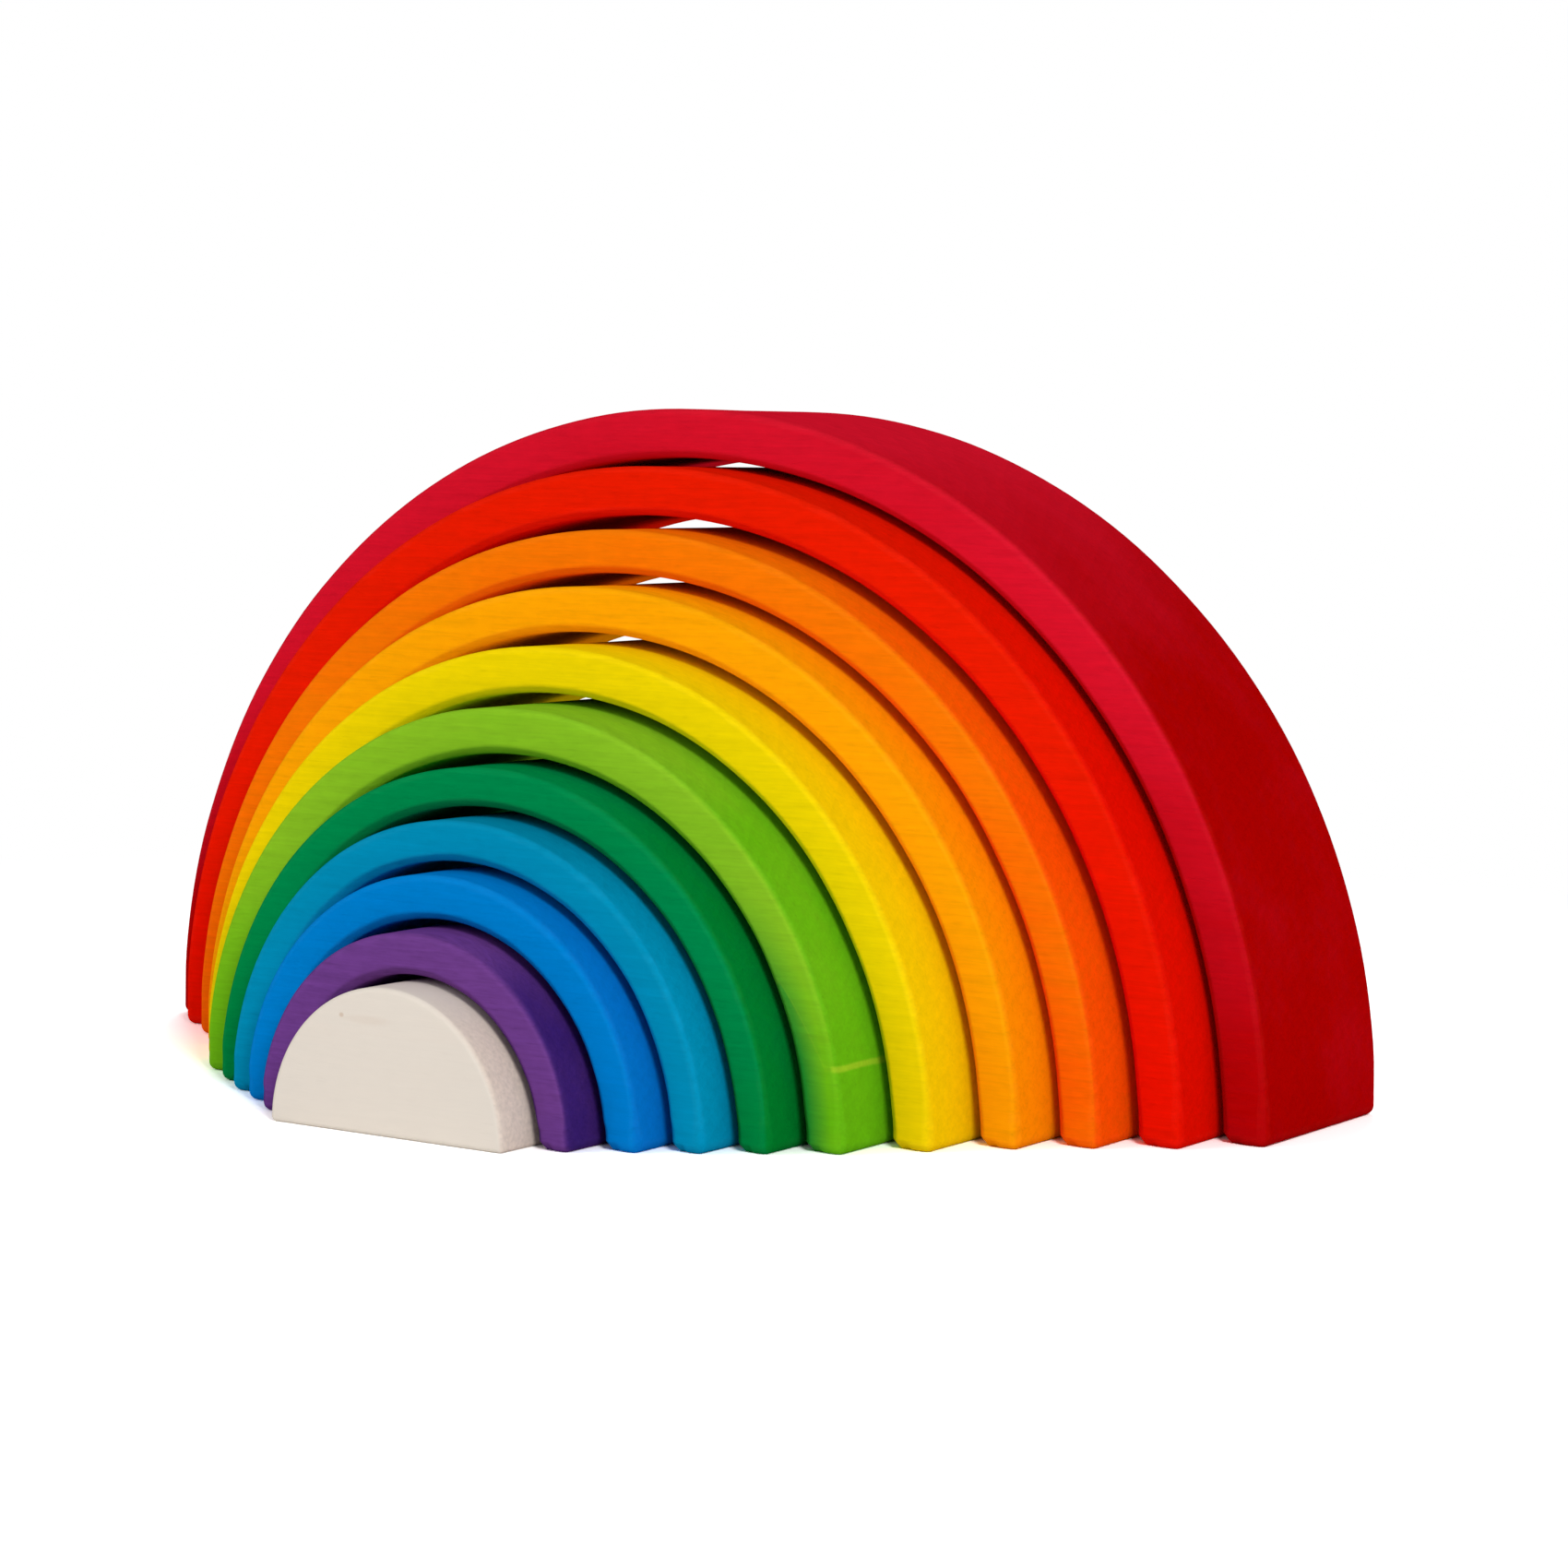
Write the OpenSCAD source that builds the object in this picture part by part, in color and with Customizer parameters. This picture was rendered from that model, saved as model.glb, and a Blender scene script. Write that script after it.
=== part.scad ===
// Rainbow stacker: ten nested arches round a plain half disc, sawn from one block of wood.
// Each piece is loose. The row stands with every piece drawn forward of the one outside it.
// X runs across the rainbow, Y runs from the front to the back, and Z is up.
// The origin is under the middle of the row, and every foot stands at z = 0.

/* [Half disc and depth] */
// Radius of the half disc in the middle
half_disc_radius = 37; // [25:0.5:60]
// Depth of every piece, from its front face to its back face
depth = 63; // [40:1:90]

/* [Walls] */
// Wall of the crimson arch
crimson_wall = 13; // [8:0.25:16]
// Wall of the red arch
red_wall = 12.75; // [8:0.25:16]
// Wall of the orange arch
orange_wall = 11.5; // [8:0.25:16]
// Wall of the amber arch
amber_wall = 11.75; // [8:0.25:16]
// Wall of the yellow arch
yellow_wall = 12; // [8:0.25:16]
// Wall of the lime arch
lime_wall = 11.75; // [8:0.25:16]
// Wall of the green arch
green_wall = 10; // [8:0.25:16]
// Wall of the teal arch
teal_wall = 10.25; // [8:0.25:16]
// Wall of the blue arch
blue_wall = 11; // [8:0.25:16]
// Wall of the purple arch
purple_wall = 10.5; // [8:0.25:16]

/* [Saw gaps] */
// Gap round the outside of the red arch
red_gap = 2.5; // [1:0.25:6]
// Gap round the outside of the orange arch
orange_gap = 3.75; // [1:0.25:6]
// Gap round the outside of the amber arch
amber_gap = 3.25; // [1:0.25:6]
// Gap round the outside of the yellow arch
yellow_gap = 3.25; // [1:0.25:6]
// Gap round the outside of the lime arch
lime_gap = 3; // [1:0.25:6]
// Gap round the outside of the green arch
green_gap = 2.75; // [1:0.25:6]
// Gap round the outside of the teal arch
teal_gap = 2.75; // [1:0.25:6]
// Gap round the outside of the blue arch
blue_gap = 2.75; // [1:0.25:6]
// Gap round the outside of the purple arch
purple_gap = 2.5; // [1:0.25:6]
// Gap round the outside of the half disc
half_disc_gap = 2; // [1:0.25:6]

/* [Forward steps] */
// How far the red arch stands in front of the crimson arch
red_step = 15.5; // [0:0.5:30]
// How far the orange arch stands in front of the red arch
orange_step = 12; // [0:0.5:30]
// How far the amber arch stands in front of the orange arch
amber_step = 13; // [0:0.5:30]
// How far the yellow arch stands in front of the amber arch
yellow_step = 16; // [0:0.5:30]
// How far the lime arch stands in front of the yellow arch
lime_step = 16; // [0:0.5:30]
// How far the green arch stands in front of the lime arch
green_step = 10.5; // [0:0.5:30]
// How far the teal arch stands in front of the green arch
teal_step = 9.5; // [0:0.5:30]
// How far the blue arch stands in front of the teal arch
blue_step = 8.5; // [0:0.5:30]
// How far the purple arch stands in front of the blue arch
purple_step = 9.5; // [0:0.5:30]
// How far the half disc stands in front of the purple arch
half_disc_step = 10; // [0:0.5:30]

/* [Sanded edges] */
// Round on the curved edges of every piece
edge_round = 2.25; // [0.5:0.25:3]
// Round on the edges under every foot
foot_round = 2; // [0.5:0.25:3]

/* [Hidden] */
$fn = 120;

// The pieces run from the outside in: ten arches, then the half disc
walls = [crimson_wall, red_wall, orange_wall, amber_wall, yellow_wall,
         lime_wall, green_wall, teal_wall, blue_wall, purple_wall];
gaps = [red_gap, orange_gap, amber_gap, yellow_gap, lime_gap,
        green_gap, teal_gap, blue_gap, purple_gap, half_disc_gap];
steps = [red_step, orange_step, amber_step, yellow_step, lime_step,
         green_step, teal_step, blue_step, purple_step, half_disc_step];
arches = len(walls);
row_length = depth + total(steps, arches);

// Each foot round bites this far past tangent, so that it meets its faces in a clean line
bite = 0.02;
// Cutters run this far past the wood
overrun = 1;

function total(sizes, count) = count == 0 ? 0 : sizes[count - 1] + total(sizes, count - 1);

// Each arch is built outwards from the half disc, over the piece inside it and the gap round that
function inner_of(piece) = piece < arches ? outer_of(piece + 1) + gaps[piece] : 0;

function outer_of(piece) = piece < arches ? inner_of(piece) + walls[piece] : half_disc_radius;

function front_of(piece) = row_length / 2 - depth - total(steps, piece);

// Rounded side of a section; side is 1 on the outer face and -1 on the inner face
module rounded_side(radius, side) {
  centre = radius - side * edge_round;
  translate([centre - edge_round, edge_round]) square([2 * edge_round, depth - 2 * edge_round]);
  for (y = [edge_round, depth - edge_round]) translate([centre, y]) circle(edge_round);
}

// Cross section of a piece beside the axis; a solid piece has no inner side
module section(inner, outer) {
  hollow = inner > 0;
  start = hollow ? inner + edge_round : 0;
  translate([start, 0]) square([outer - edge_round - start, depth]);
  rounded_side(outer, 1);
  if (hollow) rounded_side(inner, -1);
}

module half_turn(inner, outer) {
  rotate([90, 0, 0]) translate([0, 0, -depth]) rotate_extrude(angle = 180) section(inner, outer);
}

// Waste under the foot beside a curved face; side is 1 on the outer face and -1 on the inner face
module curved_edge_waste(radius, side) {
  centre_z = foot_round - bite;
  reach = radius - side * centre_z;
  centre_x = sqrt(reach * reach - centre_z * centre_z);
  touch_z = radius * centre_z / reach;
  width = foot_round + overrun;
  translate([0, depth + overrun, 0]) rotate([90, 0, 0]) linear_extrude(depth + 2 * overrun) difference() {
    translate([side > 0 ? centre_x : centre_x - width, -overrun]) square([width, touch_z + overrun]);
    translate([centre_x, centre_z]) circle(foot_round);
  }
}

// Waste under the foot along a flat face at y = 0, from one radius to the other
module flat_edge_waste(inner, outer) {
  centre = foot_round - bite;
  translate([inner - overrun, 0, 0]) rotate([90, 0, 90]) linear_extrude(outer - inner + 2 * overrun) difference() {
    translate([-overrun, -overrun]) square([centre + overrun, centre + overrun]);
    translate([centre, centre]) circle(foot_round);
  }
}

module foot_waste(inner, outer) {
  curved_edge_waste(outer, 1);
  if (inner > 0) curved_edge_waste(inner, -1);
  flat_edge_waste(inner, outer);
  translate([0, depth, 0]) mirror([0, 1, 0]) flat_edge_waste(inner, outer);
}

module stacker_piece(piece) {
  inner = inner_of(piece);
  outer = outer_of(piece);
  translate([0, front_of(piece), 0]) difference() {
    half_turn(inner, outer);
    for (side = [0, 1]) mirror([side, 0, 0]) foot_waste(inner, outer);
  }
}

module crimson_arch() color("#d41a32") stacker_piece(0);

module red_arch() color("#ea1f00") stacker_piece(1);

module orange_arch() color("#f47a00") stacker_piece(2);

module amber_arch() color("#fca400") stacker_piece(3);

module yellow_arch() color("#f6da00") stacker_piece(4);

module lime_arch() color("#82be1e") stacker_piece(5);

module green_arch() color("#008c4e") stacker_piece(6);

module teal_arch() color("#008cb4") stacker_piece(7);

module blue_arch() color("#0078c8") stacker_piece(8);

module purple_arch() color("#733c8a") stacker_piece(9);

module half_disc() color("#e6ded2") stacker_piece(10);

crimson_arch();
red_arch();
orange_arch();
amber_arch();
yellow_arch();
lime_arch();
green_arch();
teal_arch();
blue_arch();
purple_arch();
half_disc();
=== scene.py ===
"""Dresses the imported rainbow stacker: ten stained arches of wood round a plain half disc, on a floor."""

import math

import bmesh
import bpy
from mathutils import Matrix, Vector


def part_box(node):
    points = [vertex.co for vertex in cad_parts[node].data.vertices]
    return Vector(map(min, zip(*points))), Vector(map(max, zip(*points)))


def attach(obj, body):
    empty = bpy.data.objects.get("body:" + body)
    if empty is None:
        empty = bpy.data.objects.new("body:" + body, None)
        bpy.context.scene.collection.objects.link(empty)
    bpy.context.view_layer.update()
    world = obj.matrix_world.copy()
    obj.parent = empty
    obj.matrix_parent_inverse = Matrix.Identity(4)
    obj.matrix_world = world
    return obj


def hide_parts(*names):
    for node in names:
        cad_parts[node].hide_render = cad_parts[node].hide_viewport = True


bl_info = {
    "name": "Rainbow stacker",
    "version": (1, 0, 0),
    "blender": (4, 5, 0),
    "location": "View3D > Sidebar > Rainbow",
    "description": "Builds a wooden rainbow stacker: ten stained arches round a plain half disc",
    "category": "Add Mesh",
}

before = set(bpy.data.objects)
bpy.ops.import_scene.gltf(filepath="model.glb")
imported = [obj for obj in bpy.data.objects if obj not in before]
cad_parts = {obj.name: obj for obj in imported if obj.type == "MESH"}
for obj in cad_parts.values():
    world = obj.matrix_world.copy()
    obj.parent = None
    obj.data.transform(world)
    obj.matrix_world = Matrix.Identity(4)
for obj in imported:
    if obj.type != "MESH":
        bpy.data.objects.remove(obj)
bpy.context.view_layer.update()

ARCHES = ("crimson_arch", "red_arch", "orange_arch", "amber_arch", "yellow_arch",
          "lime_arch", "green_arch", "teal_arch", "blue_arch", "purple_arch")
HALF_DISC = "half_disc"
# The arch whose stain ran down its right foot, where the dark part is also painted shade
POOLED_AND_SHADED_ARCH = "lime_arch"
# Attribute that is 1 on a sanded edge and 0 on the flat
WEAR = "edge_wear"

# Grid of a bent block: steps over half of each round, then two loops that hold the flat beside it
ROUND_STEPS = 3
HOLD_STEPS = 2
FIRST_HOLD = 0.0005
SECOND_HOLD = 0.002
DEPTH_STEPS = 10
WALL_STEPS = 2
# Steps along the arc over which an edge gets rounder towards the foot
FOOT_STEPS = 3.0
# Repeats of the change in the rounds along, across and through a bent block
DRIFT_REPEATS = (14.0, 1.7, 1.1)
# Noise keeps near its middle, so it is widened by this much to swing from about -1 to 1
NOISE_SWING = 4.0
# Step in the noise from one arch to the next
SEED_STEP = 3.7
# Repeats per metre of what sanding leaves, and the heights between which it sets in above the feet
SANDING_REPEATS = 22.0
SANDING_HEIGHTS = (0.003, 0.02)

# Steps round the half disc's outline
DISC_ARC_STEPS = 72
DISC_BASE_STEPS = 36
DISC_CORNER_STEPS = 2 * ROUND_STEPS
# Hub of its faces, as a share of its height, and the rings round that: share of the way out, wear
DISC_HUB = 0.42
DISC_RINGS = ((0.16, 0.0), (0.35, 0.0), (0.55, 0.0), (0.75, 0.0), (0.9, 0.0), (0.965, 0.25), (0.987, 0.75))
# Wear on the loop beside each round
HOLD_WEAR = 0.75
MERGE_DISTANCE = 1e-6

# Strength of the figure, of the pores in the end grain and of the stain that the feet soaked up
GRAIN = {
    "crimson": (1.0, 0.1, 0.9),
    "red": (1.0, 0.1, 0.75),
    "orange": (1.0, 0.1, 0.55),
    "amber": (1.0, 0.1, 0.4),
    "yellow": (0.8, 0.1, 0.3),
    "lime": (1.0, 0.1, 0.8),
    "green": (0.9, 0.1, 0.4),
    "teal": (0.8, 0.1, 0.15),
    "blue": (0.7, 0.1, 0.15),
    "purple": (1.6, 0.1, 0.1),
    "bare": (0.13, 0.36, 0.0),
}

# Growth rings and the heart line that they run round, from the middle of a piece's front foot line
HEART_LINE = (0.0, 0.13, -0.17)
GROWTH_RINGS = {"Scale": 95.0, "Distortion": 5.0, "Detail": 2.0, "Detail Scale": 0.12}
# Parts of the grain: repeats per metre along X, Y and Z, then the noise's detail and roughness
FIBRE = ((80.0, 1500.0, 1500.0), 2.0, 0.6)
STREAK = ((16.0, 330.0, 330.0), 3.0, 0.55)
MOTTLE = ((190.0, 420.0, 420.0), 2.0, 0.6)
CLOUD = ((16.0, 34.0, 34.0), 2.0, 0.5)
DASH = ((170.0, 1250.0, 1250.0), 0.0, 0.5)
PORE = ((900.0, 900.0, 900.0), 1.0, 0.5)
# Values of the noise between which a dash sets in
DASH_EDGE = (0.66, 0.78)
# How much each part darkens or lightens the stain, and how far two of them stand out beside the fibre
FIGURE_SHARE = {"fibre": 0.26, "streak": 0.2, "mottle": 0.17, "ring": 0.04, "dash": 0.05}
RELIEF_SHARE = {"streak": 1.5, "dash": -0.8}
BUMP_STRENGTH = 0.13
BUMP_DISTANCE = 0.0002
# Span of the fibre and the clouds, and the roughness that it gives
ROUGH_FROM = (0.2, 0.8)
ROUGH_TO = (0.66, 0.8)

# How far a face turns to the grain's end, from the first end grain to the full one
END_GRAIN = (0.2, 0.9)
# Share of a piece's height below which the feet soaked up stain, and the height at which it is full
SOAK_TOP = 0.72
SOAK_FULL = 0.01
# How much clouds and streaks change the soaking
CLOUD_SOAK = 0.7
STREAK_SOAK = 0.35
# Wear at which an edge begins to show bare wood and is fully rubbed, and how pale it then is
RUBBED = (0.75, 1.25)
RUBBED_SHARE = 0.2
# Edge wear of the half disc
BARE_WEAR = 0.2

# Pooled stain and painted shade, in metres: how far inside the outer face it starts, and the share of the
# wall at its deepest
POOL_SHADE_START = 0.003
POOL_SHADE_DEEPEST = 0.8
# Heights between which it darkens towards the floor, and how far the top of its dark part rises to the
# inner edge
POOL_SHADE_HEIGHTS = (0.07, 0.018)
POOL_SHADE_SLANT = 0.02
# Edge of that top, from clear to dark, then the share of the way in at which it is darkest, and how dark
POOL_SHADE_EDGE = (0.004, -0.001)
POOL_SHADE_DARKEST = 0.9
POOL_SHADE_DARK = 0.8
# Span of x, from the middle to the right, over which it sets in
POOL_SHADE_SIDE = (0.0, 0.01)
# The pale line along that top: fading half width, wobble, repeats of the wobble per metre
LINE_FADE = (0.0012, 0.0003)
LINE_WOBBLE = 0.002
LINE_REPEATS = 70.0
# Depths inside the outer face between which the line leaves the side for the front, and its strengths
LINE_DEPTHS = (0.0006, 0.0016)
LINE_STRENGTHS = (0.45, 0.07)

# Fleck in the half disc's front and the streak beside it: x, z, half length, half height, strength
DISC_FLECKS = ((-0.0134, 0.0292, 0.0010, 0.0008, 0.42), (-0.0050, 0.0286, 0.0100, 0.0016, 0.1))
# Share of a fleck's reach at which it is clear and full
FLECK_FADE = (1.0, 0.3)

# Round floor, and the distances from the middle between which it turns pure white
FLOOR_RADIUS = 4.0
FLOOR_SIDES = 96
FLOOR_FADE = (0.22, 0.6)
# Soft lights: azimuth from the front to the right and elevation in degrees, width in metres
SOFTBOXES = {"key": (53.0, 30.0, 0.35), "fill": (-35.0, 24.0, 0.9), "back": (210.0, 32.0, 0.9)}
LIGHT_DISTANCE = 1.6
LIGHT_AIM = Vector((0.0, 0.0, 0.08))
# Viewpoint of the photograph: yaw, pitch and roll in degrees, place in metres, lens and sensor in mm
CAMERA_ANGLES = (34.122, 5.057, 0.704)
CAMERA_PLACE = Vector((0.59388, -0.79451, 0.1693))
CAMERA_LENS = 86.64
CAMERA_SENSOR = 36.0


def stain(name, words, colour):
    """A colour that is shown as it is written, in display values from 0 to 1."""
    return bpy.props.FloatVectorProperty(name=name, description=words, subtype="COLOR_GAMMA", size=3,
                                         min=0.0, max=1.0, default=[part / 255 for part in colour])


class RainbowShape(bpy.types.PropertyGroup):
    """Sizes that every piece shares"""

    edge_round: bpy.props.FloatProperty(
        name="Edge round", description="Round that sanding leaves on every outer edge",
        default=0.0015, unit="LENGTH")
    inner_round: bpy.props.FloatProperty(
        name="Inner round", description="Size of the edges inside an arch", default=0.0019, unit="LENGTH")
    inner_bevel: bpy.props.FloatProperty(
        name="Inner bevel", description="How flat the edges inside an arch are: 0 is round, 1 is a bevel",
        default=0.8, subtype="FACTOR")
    foot_round: bpy.props.FloatProperty(
        name="Foot round", description="Round on the edges of every foot", default=0.0024, unit="LENGTH")
    disc_round: bpy.props.FloatProperty(
        name="Disc round", description="Round on the edges of the half disc", default=0.0013, unit="LENGTH")
    round_change: bpy.props.FloatProperty(
        name="Round change", description="Share by which the round varies along an edge",
        default=0.1, subtype="FACTOR")
    sanding: bpy.props.FloatProperty(
        name="Sanding", description="How far hand sanding leaves a face from true",
        default=0.00012, unit="LENGTH")
    arc_steps: bpy.props.IntProperty(
        name="Arc steps", description="Steps along each arch from foot to foot", default=112, min=24)


class RainbowStains(bpy.types.PropertyGroup):
    """Stain of every piece, on the long grain of its faces and on its end grain"""

    crimson_face: stain("Crimson face", "Crimson arch on long grain", (214, 20, 43))
    crimson_end: stain("Crimson end", "Crimson arch on end grain", (177, 2, 1))
    red_face: stain("Red face", "Red arch on long grain", (232, 28, 2))
    red_end: stain("Red end", "Red arch on end grain", (231, 14, 0))
    orange_face: stain("Orange face", "Orange arch on long grain", (246, 122, 4))
    orange_end: stain("Orange end", "Orange arch on end grain", (250, 84, 2))
    amber_face: stain("Amber face", "Amber arch on long grain", (253, 166, 4))
    amber_end: stain("Amber end", "Amber arch on end grain", (253, 146, 2))
    yellow_face: stain("Yellow face", "Yellow arch on long grain", (246, 214, 4))
    yellow_end: stain("Yellow end", "Yellow arch on end grain", (246, 206, 4))
    lime_face: stain("Lime face", "Lime arch on long grain", (137, 191, 36))
    lime_end: stain("Lime end", "Lime arch on end grain", (104, 184, 18))
    green_face: stain("Green face", "Green arch on long grain", (0, 136, 74))
    green_end: stain("Green end", "Green arch on end grain", (2, 126, 46))
    teal_face: stain("Teal face", "Teal arch on long grain", (2, 140, 180))
    teal_end: stain("Teal end", "Teal arch on end grain", (2, 149, 194))
    blue_face: stain("Blue face", "Blue arch on long grain", (0, 128, 207))
    blue_end: stain("Blue end", "Blue arch on end grain", (4, 119, 205))
    purple_face: stain("Purple face", "Purple arch on long grain", (110, 62, 138))
    purple_end: stain("Purple end", "Purple arch on end grain", (60, 32, 108))
    # Dark colour of the pooled stain, which also paints shade at the right foot's inner edge and near the
    # floor
    lime_pool_and_shade: stain("Lime pool", "Lime stain where it pooled at the right foot", (34, 140, 46))
    lime_line: stain("Lime line", "Pale line that the pooled lime stain left", (192, 216, 52))
    lime_line_height: bpy.props.FloatProperty(
        name="Lime line height", description="Height of the pale line on the right foot",
        default=0.021, unit="LENGTH")
    edge_wear: bpy.props.FloatProperty(
        name="Edge wear", description="How much stain the sanded edges lost",
        default=0.02, subtype="FACTOR")
    bare_face: stain("Bare face", "Half disc on long grain", (231, 221, 209))
    bare_end: stain("Bare end", "Half disc on end grain", (228, 211, 197))
    bare_fleck: stain("Bare fleck", "Brown fleck in the half disc", (190, 150, 116))


class RainbowStage(bpy.types.PropertyGroup):
    """Floor and light"""

    key_power: bpy.props.FloatProperty(
        name="Key light", description="Power of the soft light at the front right",
        default=12.8, unit="POWER")
    back_power: bpy.props.FloatProperty(
        name="Back light", description="Power of the soft light behind on the left",
        default=8.5, unit="POWER")
    fill_power: bpy.props.FloatProperty(
        name="Fill light", description="Power of the soft light at the front left",
        default=7.2, unit="POWER")
    sky: bpy.props.FloatProperty(
        name="Sky", description="Strength of the even white light from all round", default=0.3)
    floor_tone: bpy.props.FloatProperty(
        name="Floor", description="Share of light that the floor returns to the pieces",
        default=0.92, subtype="FACTOR")
    floor_white: bpy.props.FloatProperty(
        name="Floor white", description="How bright the camera sees the lit floor", default=2.0)


def linear(colour):
    """Display colour as the linear values that sockets take, with alpha."""
    return [c / 12.92 if c <= 0.04045 else ((c + 0.055) / 1.055) ** 2.4 for c in colour] + [1.0]


# Node helpers


def put(tree, kind, **settings):
    """Adds one node with its settings."""
    node = tree.nodes.new(kind)
    for name, value in settings.items():
        setattr(node, name, value)
    return node


def feed(tree, socket, value):
    """Joins a socket to another, or sets it to a plain value."""
    if isinstance(value, bpy.types.NodeSocket):
        tree.links.new(value, socket)
    else:
        socket.default_value = value


def feed_all(tree, sockets_by_name, **values):
    """Feeds several sockets of a node; a space in a socket's name is written as an underscore."""
    for name, value in values.items():
        feed(tree, sockets_by_name[name.replace("_", " ")], value)


def maths(tree, operation, *values, clamp=False):
    node = put(tree, "ShaderNodeMath", operation=operation, use_clamp=clamp)
    for socket, value in zip(node.inputs, values):
        feed(tree, socket, value)
    return node.outputs[0]


def vector_maths(tree, operation, *values):
    node = put(tree, "ShaderNodeVectorMath", operation=operation)
    for socket, value in zip(node.inputs, values):
        feed(tree, socket, value)
    return node.outputs["Value" if operation in {"LENGTH", "DOT_PRODUCT"} else "Vector"]


def scaled(tree, vector, amount):
    node = put(tree, "ShaderNodeVectorMath", operation="SCALE")
    feed_all(tree, node.inputs, Vector=vector, Scale=amount)
    return node.outputs["Vector"]


def joined(tree, x, y, z):
    node = put(tree, "ShaderNodeCombineXYZ")
    for socket, value in zip(node.inputs, (x, y, z)):
        feed(tree, socket, value)
    return node.outputs[0]


def split(tree, vector):
    node = put(tree, "ShaderNodeSeparateXYZ")
    feed(tree, node.inputs[0], vector)
    return node.outputs[0], node.outputs[1], node.outputs[2]


def span(tree, value, low, high, to_low=0.0, to_high=1.0, smooth=False):
    """Maps a value from one span to another and holds it there."""
    way = "SMOOTHSTEP" if smooth else "LINEAR"
    node = put(tree, "ShaderNodeMapRange", clamp=True, interpolation_type=way)
    feed_all(tree, node.inputs, Value=value, From_Min=low, From_Max=high, To_Min=to_low, To_Max=to_high)
    return node.outputs[0]


def noise(tree, vector, scale, detail=2.0, roughness=0.5):
    node = put(tree, "ShaderNodeTexNoise")
    feed_all(tree, node.inputs, Vector=vector, Scale=scale, Detail=detail, Roughness=roughness)
    return node.outputs[0]


def stretched_noise(tree, vector, repeats, detail, roughness):
    """Noise with its own repeats per metre along each axis."""
    return noise(tree, vector_maths(tree, "MULTIPLY", vector, repeats), 1.0, detail, roughness)


def about_zero(tree, value, weight):
    """Noise from 0 to 1, brought round zero and weighted."""
    return maths(tree, "MULTIPLY", maths(tree, "SUBTRACT", value, 0.5), weight)


def mixed(tree, factor, low, high):
    """Mixes two colours."""
    node = put(tree, "ShaderNodeMix", data_type="RGBA")
    feed(tree, node.inputs["Factor"], factor)
    colours = [socket for socket in node.inputs if socket.type == "RGBA"]
    feed(tree, colours[0], low)
    feed(tree, colours[1], high)
    return next(socket for socket in node.outputs if socket.type == "RGBA")


def sockets(tree, side, named):
    for name, kind, default in named:
        socket = tree.interface.new_socket(name=name, in_out=side, socket_type="NodeSocket" + kind)
        if default is not None:
            socket.default_value = default


# Shape of an arch: a block with rounded edges, bent into a half turn


def rounded_axis_tree():
    """Places the grid of a block along one axis: even over the flat, leaning outwards over the round."""
    tree = bpy.data.node_groups.new("Rounded axis", "GeometryNodeTree")
    sockets(tree, "INPUT", [("Grid", "Float", 0.0), ("Last", "Float", 1.0),
                            ("Half Size", "Float", 1.0), ("Round", "Float", 0.1)])
    sockets(tree, "OUTPUT", [("Middle", "Float", None), ("Lean", "Float", None), ("Near", "Float", None)])
    given = put(tree, "NodeGroupInput").outputs
    side = maths(tree, "SIGN", given["Grid"])
    from_end = maths(tree, "SUBTRACT", given["Last"], maths(tree, "ABSOLUTE", given["Grid"]))
    turn = span(tree, from_end, 0.0, ROUND_STEPS, math.pi / 4, 0.0)
    onto_flat = maths(tree, "SUBTRACT", from_end, ROUND_STEPS)
    flat = maths(tree, "SUBTRACT", given["Half Size"], given["Round"])
    first = span(tree, onto_flat, 0.0, 1.0, 0.0, FIRST_HOLD)
    second = span(tree, onto_flat, 1.0, HOLD_STEPS, 0.0, SECOND_HOLD - FIRST_HOLD)
    last_step = maths(tree, "SUBTRACT", given["Last"], ROUND_STEPS)
    rest = span(tree, onto_flat, HOLD_STEPS, last_step, 0.0, maths(tree, "SUBTRACT", flat, SECOND_HOLD))
    reach = maths(tree, "ADD", maths(tree, "ADD", first, second), rest)
    feed_all(tree, put(tree, "NodeGroupOutput").inputs,
             Middle=maths(tree, "MULTIPLY", side, maths(tree, "SUBTRACT", flat, reach)),
             Lean=maths(tree, "MULTIPLY", side, maths(tree, "TANGENT", turn)),
             Near=span(tree, reach, 0.0, SECOND_HOLD, 1.0, 0.0))
    return tree


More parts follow.
